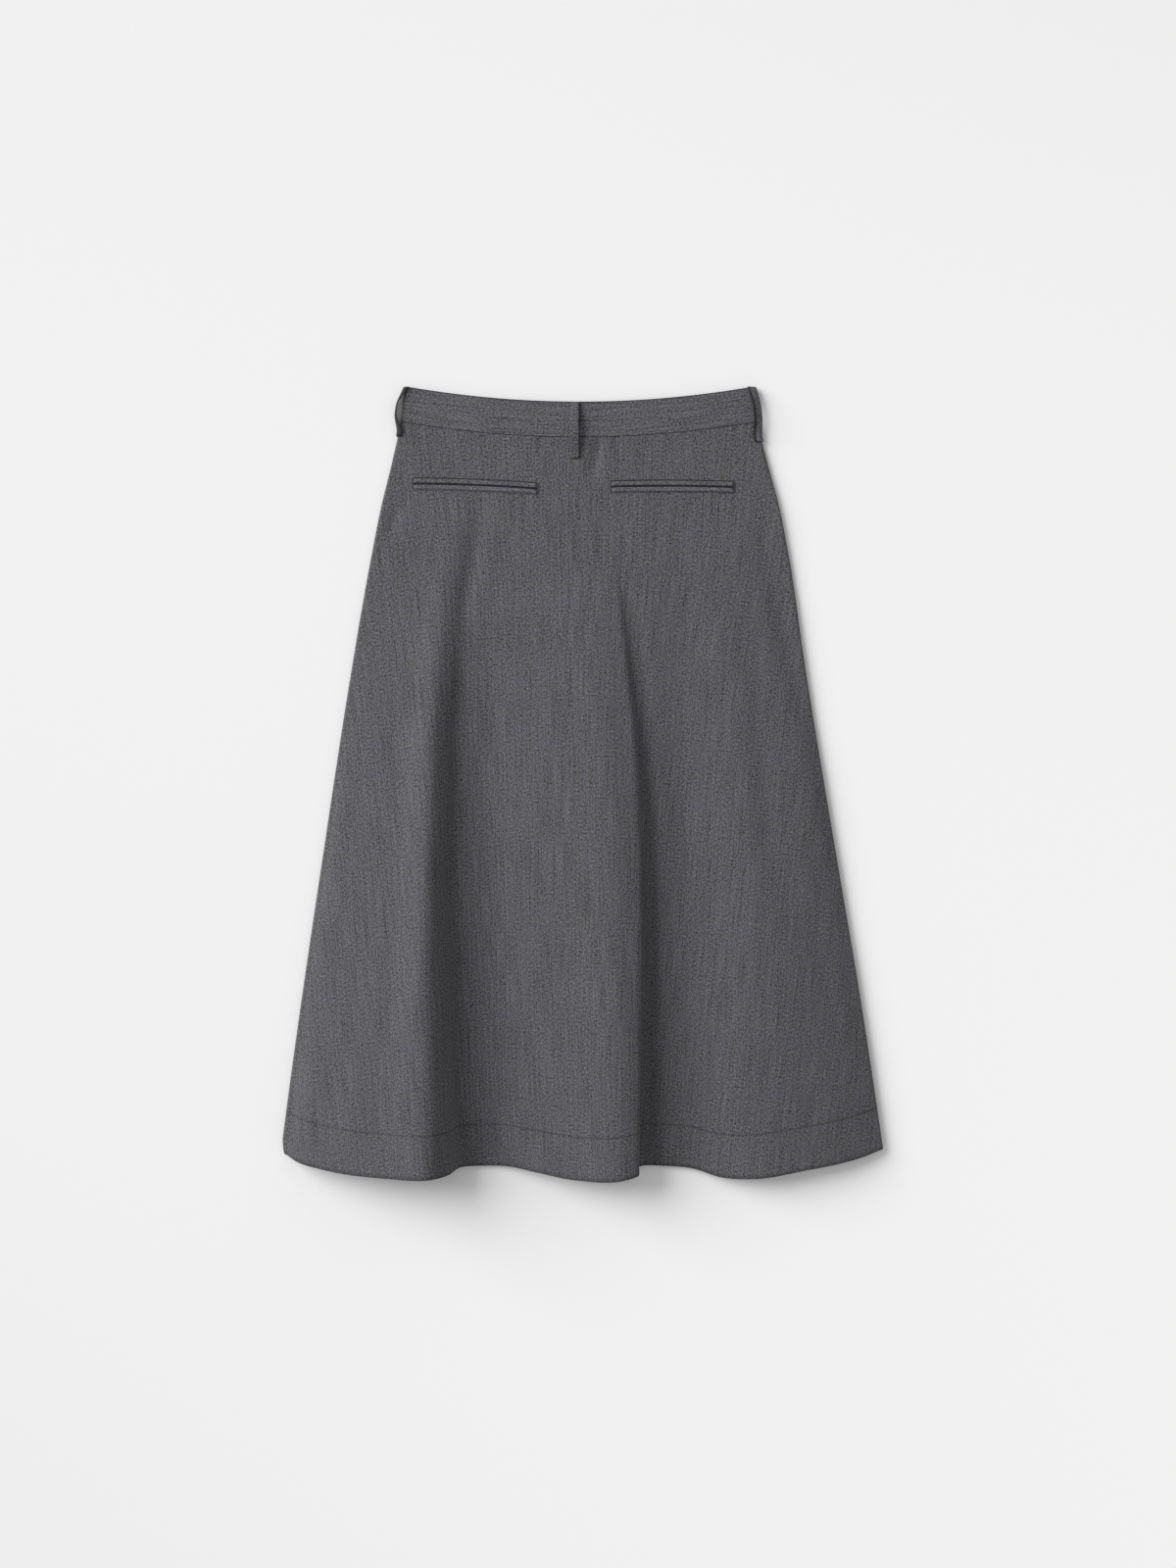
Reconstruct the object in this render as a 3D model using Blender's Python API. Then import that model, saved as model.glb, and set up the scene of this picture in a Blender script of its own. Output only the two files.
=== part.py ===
"""A flared skirt, laid on its front with its back up.

Metres. +X runs across the skirt, +Y towards the waist, +Z up from the surface that it lies on.
The origin is at the middle of the box round the skirt, on that surface. X below zero is the
wearer's left. Every cloth piece is a sheet of points worked out from the tables below, with a
wall that grows from them towards the inside of the skirt.
"""

import math

import bpy
import numpy as np
from mathutils import Vector
from mathutils.bvhtree import BVHTree

MM = 0.001

# Cloth
CLOTH = 1.2 * MM
HEM_WALL = 2.2 * MM
BAND_WALL = 2.0 * MM
BAND_RADIUS = 2.9 * MM
SEAM_GAP = 0.3 * MM
# The back goes on past its turned sides by this much, to side seams on the underside.
UNDERLAP = 3.0 * MM

# Lengths down the side of the skirt
SIDE_TOP_Y = 399.5 * MM
BAND_HEIGHT = 36.0 * MM
PANEL_SIDE_LENGTH = 740.0 * MM
HEM_DEPTH = 42.0 * MM
HEM_STEP = 0.6 * MM
# A fold's dip at the hem grows from nothing at the waist with this power of the way down.
DIP_POWER = 3

# The outline from above, in mm: how far below the waist seam, and the two side edges.
OUTLINE = (
    {"below": -36, "left": -180.0, "right": 175.5},
    {"below": 0, "left": -185.0, "right": 179.0},
    {"below": 40, "left": -193.5, "right": 188.5},
    {"below": 85, "left": -204.5, "right": 200.5},
    {"below": 130, "left": -213.5, "right": 209.5},
    {"below": 250, "left": -234.5, "right": 227.3},
    {"below": 435, "left": -263.0, "right": 257.8},
    {"below": 600, "left": -287.5, "right": 285.5},
    {"below": 715, "left": -303.2, "right": 302.8},
    {"below": 728, "left": -304.8, "right": 304.7},
    {"below": 740, "left": -303.6, "right": 306.5},
)

# The arcs across the panels, in mm: how much lower the middle lies than the sides on the back and
# on the front, the power that squares the arc off, and the radius of the turned side.
ARCS = (
    {"below": 0, "back": 15.5, "front": 27.5, "power": 2.0, "side_radius": 2.5},
    {"below": 300, "back": 15.8, "front": 19.0, "power": 2.8, "side_radius": 3.4},
    {"below": 740, "back": 16.7, "front": 14.7, "power": 4.0, "side_radius": 4.5},
)

# Folds of the back, left to right, in mm: where each line lies at the waist seam, halfway down
# and at the hem, how far it rises there above the turned sides, and its dip: how much lower
# the hem hangs at the line than the plain arc across the panel.
FOLD_MIDDLE = 0.45
FOLD_START = 0.10
FOLDS = (
    {"name": "left side", "waist": -175, "mid": -239, "hem": -290, "mid_z": 2, "hem_z": 8, "dip": 7.2},
    {"name": "left shoulder", "waist": -164, "mid": -219, "hem": -260, "mid_z": 6, "hem_z": 18, "dip": 9.2},
    {"name": "left crest", "waist": -149, "mid": -181, "hem": -203, "mid_z": 12, "hem_z": 32, "dip": 8.6},
    {"name": "left brow", "waist": -122, "mid": -150, "hem": -149, "mid_z": 20, "hem_z": 42, "dip": 5.9},
    {"name": "left flank", "waist": -114, "mid": -139, "hem": -135, "mid_z": 12, "hem_z": 27, "dip": 4.8},
    {"name": "left foot", "waist": -106, "mid": -129, "hem": -121, "mid_z": 1, "hem_z": 3, "dip": 0.6},
    {"name": "left hollow", "waist": -96, "mid": -112, "hem": -104, "mid_z": -1, "hem_z": -3, "dip": 0.7},
    {"name": "centre foot", "waist": -82, "mid": -92, "hem": -80, "mid_z": -1, "hem_z": -2, "dip": 0.4},
    {"name": "centre shoulder", "waist": -62, "mid": -66, "hem": -48, "mid_z": 4, "hem_z": 7, "dip": 4.6},
    {"name": "centre crest", "waist": -34, "mid": -22, "hem": -8, "mid_z": 10, "hem_z": 19, "dip": 10.2},
    {"name": "centre brow", "waist": 6, "mid": 42, "hem": 45, "mid_z": 15, "hem_z": 30, "dip": 7.8},
    {"name": "fold edge", "waist": 16, "mid": 56, "hem": 57, "mid_z": 11, "hem_z": 24, "dip": 4.8},
    {"name": "fold under", "waist": 22, "mid": 58, "hem": 53, "mid_z": 4, "hem_z": 9, "dip": 2.2},
    {"name": "fold foot", "waist": 30, "mid": 64, "hem": 61, "mid_z": 0, "hem_z": -2, "dip": 0.4},
    {"name": "right hollow", "waist": 44, "mid": 79, "hem": 83, "mid_z": 0, "hem_z": -3, "dip": 0.6},
    {"name": "right foot", "waist": 61, "mid": 97, "hem": 112, "mid_z": -1, "hem_z": -3, "dip": 3.4},
    {"name": "right shoulder", "waist": 81, "mid": 121, "hem": 140, "mid_z": 1, "hem_z": 3, "dip": 11.4},
    {"name": "right crest", "waist": 106, "mid": 151, "hem": 172, "mid_z": 6, "hem_z": 12, "dip": 12.4},
    {"name": "right slope", "waist": 136, "mid": 196, "hem": 231, "mid_z": 6, "hem_z": 12, "dip": 6.4},
    {"name": "right side", "waist": 161, "mid": 231, "hem": 286, "mid_z": 2, "hem_z": 5, "dip": 2.3},
)
# How much lower the hem hangs on top of each turned side, in mm. It is nothing underneath.
SIDE_DIPS = {"left": 5.0, "right": 0.0}

# Folds of the front, in mm, each under a fold of the back: its middle, width and height at the hem.
# Each starts a share of the way down, and at the waist its middle would be at a share of its hem's.
FRONT_FOLD_START = 0.25
FRONT_FOLD_AT_WAIST = 0.6
FRONT_FOLDS = (
    {"middle": -222, "width": 74, "height": 15},
    {"middle": 178, "width": 70, "height": 7},
    {"middle": 240, "width": 60, "height": 3},
)

# Mesh fineness
STEPS_PER_FOLD_LINE = 3
SIDE_STEPS = 5
PANEL_ROWS = 15
# Above 1, the rows of a panel lie closer together near the waist.
ROW_CROWDING = 1.3
FRONT_COLUMNS = 25
BAND_ROWS = 3
BAND_COLUMNS = 24

# Back pockets, in mm: the two ends of each mouth, and how far the mouth bows up between them.
POCKETS = (
    {"name": "left", "start": (-172.0, 299.0), "end": (-45.5, 295.5), "bow": 1.6},
    {"name": "right", "start": (29.5, 297.2), "end": (154.5, 296.8), "bow": 1.0},
)
WELT_WIDTH = 5.6 * MM
WELT_THICKNESS = 1.2 * MM
MOUTH_GAP = 0.5 * MM
WELT_COLUMNS = 16

# Belt loops: the side each is measured from, how far round the cloth its middle is from that side
# at the waist seam, whether it runs along that side or straight down, the angle that its free
# middle leans up to, where 90 faces straight up, its clear gap and its length.
LOOP_WIDTH = 10.0 * MM
LOOP_THICKNESS = 1.8 * MM
LOOP_ROWS = 16
LOOP_COLUMNS = 7
LOOPS = (
    {"name": "left", "side": "left", "round": 2.7, "along": True, "lean": 17, "gap": 4.4, "length": 50},
    {"name": "back", "side": "left", "round": 181.2, "along": False, "lean": 90, "gap": 5.0, "length": 57},
    {"name": "right", "side": "right", "round": 5.5, "along": True, "lean": 40, "gap": 3.4, "length": 56},
)
LOOP_OVER_TOP = 0.8 * MM
LOOP_RISES = (0.02, 0.28)
LOOP_FALLS = (0.62, 0.93)

# Closure at the centre front, inside the skirt
ZIP_LENGTH = 180.0 * MM
ZIP_WIDTH = 24.0 * MM
ZIP_THICKNESS = 1.2 * MM
ZIP_BELOW_SEAM = 1.0 * MM
HOOK_SIZE = (13.0 * MM, 8.0 * MM, 1.2 * MM)
HOOK_CORNER = 1.5 * MM
CORNER_STEPS = 3

# Colours, roughness and metallic value
SUITING = ((0.090, 0.089, 0.097, 1.0), 0.9, 0.0)
SUITING_ACROSS = ((0.094, 0.093, 0.100, 1.0), 0.9, 0.0)
ZIP_TAPE = ((0.060, 0.060, 0.066, 1.0), 0.8, 0.0)
STEEL = ((0.55, 0.55, 0.56, 1.0), 0.35, 1.0)


def clear_scene():
    for old in list(bpy.data.objects):
        bpy.data.objects.remove(old)


def add_piece(name, points, faces, finish):
    """One sub-part, which the skirt's own empty carries."""
    mesh = bpy.data.meshes.new(name)
    mesh.from_pydata(points, [], faces)
    mesh.materials.append(finish)
    piece = bpy.data.objects.new(name, mesh)
    piece.parent = bpy.data.objects["skirt"]
    bpy.context.scene.collection.objects.link(piece)
    return piece


def material(name, finish):
    """A Principled finish: base colour, roughness and metallic value."""
    colour, roughness, metallic = finish
    made = bpy.data.materials.new(name)
    made.use_nodes = True
    shader = made.node_tree.nodes["Principled BSDF"]
    shader.inputs["Base Color"].default_value = colour
    shader.inputs["Roughness"].default_value = roughness
    shader.inputs["Metallic"].default_value = metallic
    return made


def smooth_step(low, high, value):
    """0 below low, 1 above high, and a soft ramp between."""
    share = min(1.0, max(0.0, (value - low) / (high - low)))
    return share * share * (3 - 2 * share)


def smooth_curve(places, values, at):
    """A soft curve through values at rising places, read at one place or at many."""
    places = np.asarray(places, float)
    values = np.asarray(values, float)
    spans = np.diff(places)
    slopes = np.diff(values, axis=0) / spans.reshape(-1, *[1] * (values.ndim - 1))
    inner = [
        (slopes[i] * spans[i + 1] + slopes[i + 1] * spans[i]) / (spans[i] + spans[i + 1])
        for i in range(len(slopes) - 1)
    ]
    tangents = np.array([slopes[0], *inner, slopes[-1]])
    at = np.atleast_1d(np.asarray(at, float))
    piece = np.clip(np.searchsorted(places, at, side="right") - 1, 0, len(spans) - 1)
    shape = (-1, *[1] * (values.ndim - 1))
    span = spans[piece].reshape(shape)
    share = ((at - places[piece]) / spans[piece]).reshape(shape)
    first, last = share**3 * 2 - share**2 * 3 + 1, share**2 * 3 - share**3 * 2
    leave, arrive = share**3 - share**2 * 2 + share, share**3 - share**2
    return (
        first * values[piece]
        + last * values[piece + 1]
        + span * (leave * tangents[piece] + arrive * tangents[piece + 1])
    )


def read_table(table, column, below):
    """A column of a table at a distance below the waist seam."""
    places = [row["below"] * MM for row in table]
    values = [row[column] for row in table]
    return float(smooth_curve(places, values, max(below, places[0]))[0])


def side_edge(side, below):
    return read_table(OUTLINE, side, below) * MM


def side_radius(below):
    return read_table(ARCS, "side_radius", below) * MM


def arc_y(x, below, face):
    """The Y of a line across the skirt that leaves both side edges this far below the seam."""
    left, right = side_edge("left", below), side_edge("right", below)
    across = abs(2 * x - left - right) / (right - left)
    power = read_table(ARCS, "power", below)
    lower = read_table(ARCS, face, below) * MM * (1 - min(1.0, across) ** power)
    return SIDE_TOP_Y - BAND_HEIGHT - below - lower


def turned_side(side, below, radius, steps):
    """Points (x, z) of a half circle from under the skirt round its side edge to its top."""
    inward = 1 if side == "left" else -1
    centre = side_edge(side, below) + inward * radius
    angles = [math.pi * (k / steps - 0.5) for k in range(steps + 1)]
    return [(centre - inward * radius * math.cos(a), radius + radius * math.sin(a)) for a in angles]


def fold_line(fold, down):
    """The place (x, z) of one fold line of the back, a share of the way down, and its dip."""
    below = down * PANEL_SIDE_LENGTH
    places = [0.0, FOLD_MIDDLE, 1.0]
    x = smooth_curve(places, [fold["waist"], fold["mid"], fold["hem"]], down)[0]
    starts = [0.0, FOLD_START, FOLD_MIDDLE, 1.0]
    rise = smooth_curve(starts, [0.0, 0.0, fold["mid_z"], fold["hem_z"]], down)[0]
    dip = fold["dip"] * down**DIP_POWER
    return x * MM, 2 * side_radius(below) + rise * MM, dip * MM


def back_section(down):
    """Points (x, z) and dips across the back, from under its left side to under its right side."""
    below = down * PANEL_SIDE_LENGTH
    radius = side_radius(below)
    deepest = {side: SIDE_DIPS[side] * MM * down**DIP_POWER for side in SIDE_DIPS}
    left, right = (
        [(x, z, deepest[side] * z / (2 * radius)) for x, z in turned_side(side, below, radius, SIDE_STEPS)]
        for side in ("left", "right")
    )
    right = right[::-1]
    lines = [left[-1], *[fold_line(fold, down) for fold in FOLDS], right[0]]
    lengths = np.linalg.norm(np.diff(lines, axis=0), axis=1)
    places = np.concatenate([[0.0], np.cumsum(lengths)])
    at = [
        places[i] + (places[i + 1] - places[i]) * k / STEPS_PER_FOLD_LINE
        for i in range(len(lengths))
        for k in range(1 if i == 0 else 0, STEPS_PER_FOLD_LINE)
    ]
    top = [tuple(point) for point in smooth_curve(places, lines, at)]
    under_left = (left[0][0] + UNDERLAP, 0.0, 0.0)
    under_right = (right[-1][0] - UNDERLAP, 0.0, 0.0)
    return [under_left, *left, *top, *right, under_right]


def down_shares():
    """Shares of the way down a panel, with a step in the wall where its hem is turned up."""
    stitch = 1 - HEM_DEPTH / PANEL_SIDE_LENGTH
    step = HEM_STEP / PANEL_SIDE_LENGTH
    body = [stitch * (k / PANEL_ROWS) ** ROW_CROWDING for k in range(PANEL_ROWS + 1)]
    return [*body, stitch + step, (1 + stitch) / 2, 1.0]


def sheet(name, grid, wall, finish, thick_rows=(), thin_wall=None, outside_up=True, grows=-1):
    """A thickened sheet. grid is rows of points from the waist down, each from left to right.
    Rows in thick_rows get the whole wall, and the others thin_wall where that is given."""
    columns = len(grid[0])
    points = [point for row in grid for point in row]
    faces = []
    for r in range(len(grid) - 1):
        for c in range(columns - 1):
            a = r * columns + c
            face = (a, a + columns, a + columns + 1, a + 1)
            faces.append(face if outside_up else face[::-1])
    piece = add_piece(name, points, faces, finish)
    piece.data.shade_smooth()
    solid = piece.modifiers.new("wall", "SOLIDIFY")
    solid.thickness = wall
    solid.offset = grows
    if thin_wall:
        hem = piece.vertex_groups.new(name="hem")
        hem.add([r * columns + c for r in thick_rows for c in range(columns)], 1.0, "REPLACE")
        solid.vertex_group = hem.name
        solid.thickness_vertex_group = thin_wall / wall
    return piece, BVHTree.FromPolygons(points, faces)


def back_panel(finish):
    """The back, cut in one piece with its straight grain down the middle."""
    grid = []
    for down in down_shares():
        below = down * PANEL_SIDE_LENGTH
        radius = side_radius(below)
        row = []
        for x, z, dip in back_section(down):
            y = arc_y(x, below, "back" if z > radius else "front")
            row.append((x, y - dip - SEAM_GAP * (1 - down), z))
        grid.append(row)
    hem_rows = range(len(grid) - 3, len(grid))
    return sheet("back", grid, HEM_WALL, finish, hem_rows, CLOTH)


def front_height(x, down):
    """How high the front's outer face is lifted off the surface by its folds."""
    grown = smooth_step(FRONT_FOLD_START, 1.0, down) * down
    total = 0.0
    for fold in FRONT_FOLDS:
        middle = fold["middle"] * (FRONT_FOLD_AT_WAIST + (1 - FRONT_FOLD_AT_WAIST) * down)
        off = abs(x / MM - middle) / (fold["width"] / 2)
        if off < 1:
            total += fold["height"] * MM * grown * (1 + math.cos(math.pi * off)) / 2
    return total


def front_panel(side, finish):
    """One front, from its side seam under the turned side to the centre-front seam."""
    inward = 1 if side == "left" else -1
    grid = []
    for down in down_shares():
        below = down * PANEL_SIDE_LENGTH
        seam = side_edge(side, below) + inward * (side_radius(below) + UNDERLAP + SEAM_GAP)
        centre = -inward * SEAM_GAP / 2
        row = []
        for c in range(FRONT_COLUMNS + 1):
            x = seam + (centre - seam) * c / FRONT_COLUMNS
            y = arc_y(x, below, "front") - SEAM_GAP * (1 - down)
            row.append((x, y, front_height(x, down)))
        grid.append(row if side == "left" else row[::-1])
    hem_rows = range(len(grid) - 3, len(grid))
    return sheet(f"front_{side}", grid, HEM_WALL, finish, hem_rows, CLOTH, outside_up=False)


def waistband(finish):
    """One strip round the whole waist, open at the centre front."""
    grid = []
    for r in range(BAND_ROWS + 1):
        below = BAND_HEIGHT * (r / BAND_ROWS - 1)
        left = turned_side("left", below, BAND_RADIUS, SIDE_STEPS + 1)
        right = turned_side("right", below, BAND_RADIUS, SIDE_STEPS + 1)[::-1]
        start, end = left[-1], right[0]
        shares = [k / BAND_COLUMNS for k in range(1, BAND_COLUMNS)]
        top = [(start[0] + (end[0] - start[0]) * share, start[1]) for share in shares]
        half = BAND_COLUMNS // 2
        ends = [(-SEAM_GAP / 2, left[0][0]), (SEAM_GAP / 2, right[-1][0])]
        under = [[(near + (far - near) * k / half, 0.0) for k in range(half)] for near, far in ends]
        ring = [*under[0], *left, *top, *right, *under[1][::-1]]
        faces = ["back" if z > BAND_RADIUS else "front" for _, z in ring]
        grid.append([(x, arc_y(x, below, face), z) for (x, z), face in zip(ring, faces)])
    return sheet("waistband", grid, BAND_WALL, finish)


def welt(pocket, part, panel, finish):
    """One of a pocket's two welts: a strip made from the back's own points, moved out."""
    (x0, y0), (x1, y1) = pocket["start"], pocket["end"]
    upward = 1 if part == "upper" else -1
    edges = [MOUTH_GAP / 2, MOUTH_GAP / 2 + WELT_WIDTH / 2, MOUTH_GAP / 2 + WELT_WIDTH]
    offsets = [upward * edge for edge in edges]
    if upward > 0:
        offsets.reverse()
    grid = []
    for offset in offsets:
        row = []
        for c in range(WELT_COLUMNS + 1):
            share = c / WELT_COLUMNS
            bow = pocket["bow"] * 4 * share * (1 - share)
            x = (x0 + (x1 - x0) * share) * MM
            y = (y0 + (y1 - y0) * share + bow) * MM + offset
            point, normal, _, _ = panel.ray_cast(Vector((x, y, 1.0)), Vector((0, 0, -1)))
            row.append(point + normal * SEAM_GAP)
        grid.append(row)
    name = f"welt_{part}_{pocket['name']}"
    return sheet(name, grid, WELT_THICKNESS, finish, grows=1)


def round_the_side(side, below, distance, lift, radius):
    """A point (x, z) at a distance round the cloth from its side edge, lifted off it."""
    inward = 1 if side == "left" else -1
    centre = side_edge(side, below) + inward * radius
    middle = radius + SEAM_GAP + LOOP_THICKNESS / 2
    quarter = middle * math.pi / 2
    angle = min(distance / middle, math.pi / 2)
    reach = radius + lift
    x = centre - inward * reach * math.cos(angle) + inward * max(0.0, distance - quarter)
    return x, radius + reach * math.sin(angle)


def belt_loop(loop, finish):
    """A sewn-down strip whose free middle stands off the band."""
    inward = 1 if loop["side"] == "left" else -1
    length, gap, lean = loop["length"] * MM, loop["gap"] * MM, math.radians(loop["lean"])
    grid = []
    for r in range(LOOP_ROWS + 1):
        share = r / LOOP_ROWS
        below = -BAND_HEIGHT - LOOP_OVER_TOP + length * share
        free = smooth_step(*LOOP_RISES, share) - smooth_step(*LOOP_FALLS, share)
        on_band = 1 - smooth_step(LOOP_FALLS[0], LOOP_FALLS[1], share)
        radius = side_radius(0.0) + (BAND_RADIUS - side_radius(0.0)) * on_band
        edge = side_edge(loop["side"], below)
        drift = 0.0 if loop["along"] else inward * (side_edge(loop["side"], 0.0) - edge)
        distance = loop["round"] * MM + drift
        middle = round_the_side(loop["side"], below, distance, SEAM_GAP, radius)
        centre_x = edge + inward * radius
        reach = radius + SEAM_GAP + gap
        if loop["lean"] < 90:
            middle = (centre_x - inward * reach * math.cos(lean), radius + reach * math.sin(lean))
        else:
            middle = (middle[0], middle[1] + gap)
        row = []
        for c in range(LOOP_COLUMNS):
            off = LOOP_WIDTH * (c / (LOOP_COLUMNS - 1) - 0.5)
            sewn = round_the_side(loop["side"], below, distance + off, SEAM_GAP, radius)
            loose = (middle[0] + inward * off * math.sin(lean), middle[1] + off * math.cos(lean))
            x, z = (sewn[k] * (1 - free) + loose[k] * free for k in range(2))
            y = arc_y(middle[0], below, "back")
            row.append((x, y, z))
        grid.append(row if loop["side"] == "left" else row[::-1])
    return sheet(f"loop_{loop['name']}", grid, LOOP_THICKNESS, finish, grows=1)


def plate(name, size, centre, finish, corner=0.0):
    """A flat plate with rounded corners, its lower face at the centre's height."""
    half_x, half_y = size[0] / 2 - corner, size[1] / 2 - corner
    outline = []
    for k, (toward_x, toward_y) in enumerate(((1, 1), (-1, 1), (-1, -1), (1, -1))):
        for j in range(CORNER_STEPS + 1 if corner else 1):
            angle = math.pi / 2 * (k + j / CORNER_STEPS)
            x = toward_x * half_x + corner * math.cos(angle)
            y = toward_y * half_y + corner * math.sin(angle)
            outline.append((x, y, 0.0))
    piece = add_piece(name, outline, [tuple(range(len(outline)))], finish)
    piece.location = centre
    solid = piece.modifiers.new("thickness", "SOLIDIFY")
    solid.thickness = size[2]
    solid.offset = 1


def closure(tape, steel):
    """The concealed zip behind the centre-front seam, and the band's hook and bar."""
    seam_y = arc_y(0.0, 0.0, "front")
    zip_middle = (0.0, seam_y - ZIP_BELOW_SEAM - ZIP_LENGTH / 2, CLOTH + SEAM_GAP)
    plate("zip", (ZIP_WIDTH, ZIP_LENGTH, ZIP_THICKNESS), zip_middle, tape)
    for name, toward in (("waist_hook", -1), ("waist_bar", 1)):
        x = toward * (HOOK_SIZE[0] / 2 + SEAM_GAP / 2)
        middle = (x, seam_y + BAND_HEIGHT / 2, BAND_WALL + SEAM_GAP)
        plate(name, HOOK_SIZE, middle, steel, HOOK_CORNER)


def main():
    clear_scene()
    skirt = bpy.data.objects.new("skirt", None)
    bpy.context.scene.collection.objects.link(skirt)
    suiting = material("suiting", SUITING)
    across = material("suiting_across", SUITING_ACROSS)
    tape = material("zip_tape", ZIP_TAPE)
    steel = material("steel", STEEL)
    _, panel = back_panel(suiting)
    for side in ("left", "right"):
        front_panel(side, suiting)
    waistband(across)
    for pocket in POCKETS:
        for part in ("upper", "lower"):
            welt(pocket, part, panel, across)
    for loop in LOOPS:
        belt_loop(loop, suiting)
    closure(tape, steel)


main()
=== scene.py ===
# %% [markdown]
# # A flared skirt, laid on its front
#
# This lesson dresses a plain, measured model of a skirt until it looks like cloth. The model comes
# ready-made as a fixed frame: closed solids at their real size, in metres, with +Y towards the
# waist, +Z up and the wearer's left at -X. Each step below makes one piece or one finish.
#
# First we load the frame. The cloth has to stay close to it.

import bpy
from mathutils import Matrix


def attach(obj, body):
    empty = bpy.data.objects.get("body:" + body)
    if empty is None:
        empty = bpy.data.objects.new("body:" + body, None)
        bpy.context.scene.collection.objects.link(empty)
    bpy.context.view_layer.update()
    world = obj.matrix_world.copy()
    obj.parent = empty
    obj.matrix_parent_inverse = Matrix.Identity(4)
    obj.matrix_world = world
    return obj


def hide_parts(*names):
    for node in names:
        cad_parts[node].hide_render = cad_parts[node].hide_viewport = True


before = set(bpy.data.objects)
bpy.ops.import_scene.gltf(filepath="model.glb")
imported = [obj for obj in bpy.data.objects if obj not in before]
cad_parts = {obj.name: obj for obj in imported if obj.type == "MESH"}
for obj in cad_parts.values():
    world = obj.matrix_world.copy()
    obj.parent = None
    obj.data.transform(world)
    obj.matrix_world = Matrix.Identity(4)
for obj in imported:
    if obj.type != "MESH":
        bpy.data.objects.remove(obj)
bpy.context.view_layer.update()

import math

import bpy
import numpy as np
from mathutils import Vector
from mathutils.bvhtree import BVHTree

# %% [markdown]
# ## The camera
#
# A garment for a catalogue is photographed from straight above, so the camera hangs over the skirt
# and looks down. From 1.8 m with this lens, one of the picture's 1600 pixels down is one millimetre
# of the floor. Blender reads the sensor's width as the long side of an upright picture.

# %% Hang the camera over the skirt
CAMERA_PLACE = (0.006, -0.0052, 1.8)
SENSOR = 36.0
LENS = 40.5


def put(name, data):
    """A new object in the scene."""
    made = bpy.data.objects.new(name, data)
    bpy.context.scene.collection.objects.link(made)
    return made


camera = put("camera", bpy.data.cameras.new("camera"))
camera.location = CAMERA_PLACE
camera.data.sensor_width = SENSOR
camera.data.lens = LENS
camera.data.dof.use_dof = False
bpy.context.scene.camera = camera
print("the picture is", round(CAMERA_PLACE[2] * SENSOR / LENS, 3), "m high at the floor")

# %% [markdown]
# ## Shader maths in plain Python
#
# A Blender material is a net of nodes. Written as expressions, that net stays readable: `Wire`
# wraps one output, and adding or multiplying wires adds the Math nodes. `Finish` holds a material
# and makes every other kind of node. Numbers alone are worked out in Python.


# %% Wires and finishes
class Wire:
    """One output of a node. Sums and products of wires are Math nodes."""

    def __init__(self, tree, socket):
        self.tree = tree
        self.socket = socket

    def math(self, operation, *values):
        node = self.tree.nodes.new("ShaderNodeMath")
        node.operation = operation
        for socket, value in zip(node.inputs, values):
            plug(self.tree, socket, value)
        return Wire(self.tree, node.outputs[0])

    def __add__(self, other):
        return self.math("ADD", self, other)

    def __sub__(self, other):
        return self.math("SUBTRACT", self, other)

    def __rsub__(self, other):
        return self.math("SUBTRACT", other, self)

    def __mul__(self, other):
        return self.math("MULTIPLY", self, other)

    def __truediv__(self, other):
        return self.math("DIVIDE", self, other)

    __radd__ = __add__
    __rmul__ = __mul__


def plug(tree, socket, value):
    """Links a wire to a socket, or sets the socket's own value."""
    if isinstance(value, Wire):
        tree.links.new(value.socket, socket)
    else:
        socket.default_value = value


class Finish:
    """A material and its Principled shader."""

    def __init__(self, name, **values):
        self.material = bpy.data.materials.new(name)
        self.material.use_nodes = True
        self.tree = self.material.node_tree
        self.shader = self.tree.nodes["Principled BSDF"]
        for socket, value in values.items():
            self.set(socket.replace("_", " ").title(), value)

    def set(self, socket, value):
        plug(self.tree, self.shader.inputs[socket], value)

    def node(self, kind, settings=None, sockets=None, out=0):
        """A node of this kind. Settings come first, then the values or links of its sockets."""
        node = self.tree.nodes.new(kind)
        for setting, value in (settings or {}).items():
            setattr(node, setting, value)
        for socket, value in (sockets or {}).items():
            plug(self.tree, node.inputs[socket], value)
        return Wire(self.tree, node.outputs[out])

    def noise(self, place, detail, scale=1.0):
        sockets = {"Vector": place, "Scale": scale, "Detail": detail}
        return self.node("ShaderNodeTexNoise", {"noise_dimensions": "2D"}, sockets)

    def mix(self, share, first, second, blend="MIX"):
        """Two colours mixed. Their sockets are the sixth and seventh of a Mix node."""
        settings = {"data_type": "RGBA", "blend_type": blend}
        return self.node("ShaderNodeMix", settings, {0: share, 6: first, 7: second}, out=2)

    def ramp(self, value, low, high, first=0.0, last=1.0):
        """first where the value is below low, last above high, and a straight ramp between."""
        names = ("Value", "From Min", "From Max", "To Min", "To Max")
        sockets = dict(zip(names, (value, low, high, first, last)))
        return self.node("ShaderNodeMapRange", None, sockets)

    def attribute(self, name, out):
        return self.node("ShaderNodeAttribute", {"attribute_name": name}, out=out)

    def relief(self, height, distance):
        self.set("Normal", self.node("ShaderNodeBump", None, {"Height": height, "Distance": distance}))


def grey(level, tint=(1.0, 1.0, 1.0)):
    return (*(level * part for part in tint), 1.0)


print("helpers ready: Wire, Finish")
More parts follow.
